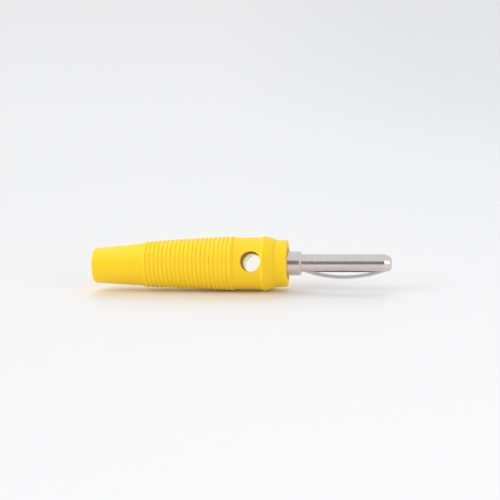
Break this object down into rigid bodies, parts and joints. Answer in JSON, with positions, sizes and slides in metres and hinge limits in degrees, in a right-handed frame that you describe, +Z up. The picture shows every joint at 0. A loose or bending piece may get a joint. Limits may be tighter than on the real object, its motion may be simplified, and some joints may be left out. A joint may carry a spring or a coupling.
{
  "type": "banana plug",
  "caption": "Cable plug with a round sprung pin, a ribbed soft handle, a cross hole that takes another plug's pin, and a screw clamp for the wire.",
  "frame": {"origin": "where the cross hole's axis meets the plug's axis", "axes": "+X along the plug's axis towards the pin's tip, +Z up with the plug lying on its side, and the cross hole's front mouth towards -Y, turned up by 16 degrees"},
  "size_m": [0.0651, 0.012, 0.012],
  "materials": {
    "nickel_plate": "polished",
    "spring_metal": "polished",
    "screw_steel": "satin",
    "yellow_vinyl": "satin"
  },
  "bodies": {
    "contact": {"contact": "nickel_plate"},
    "leaf": {"leaf_spring": "spring_metal"},
    "screw": {"clamp_screw": "screw_steel"},
    "handle": {"handle": "yellow_vinyl"}
  },
  "joints": [
    {"name": "handle_slide", "type": "slide", "parent": "contact", "child": "handle", "axis": [-1, 0, 0], "range_m": [0, 0.021]},
    {"name": "leaf_press", "type": "slide", "parent": "contact", "child": "leaf", "axis": [0, 0.2756, 0.9613], "range_m": [0, 0.0012], "stiffness_N_per_m": 5000, "deforming": ["leaf_spring"]},
    {"name": "clamp_feed", "type": "slide", "parent": "contact", "child": "screw", "axis": [0, -0.2756, -0.9613], "range_m": [0, 0.0011]}
  ]
}
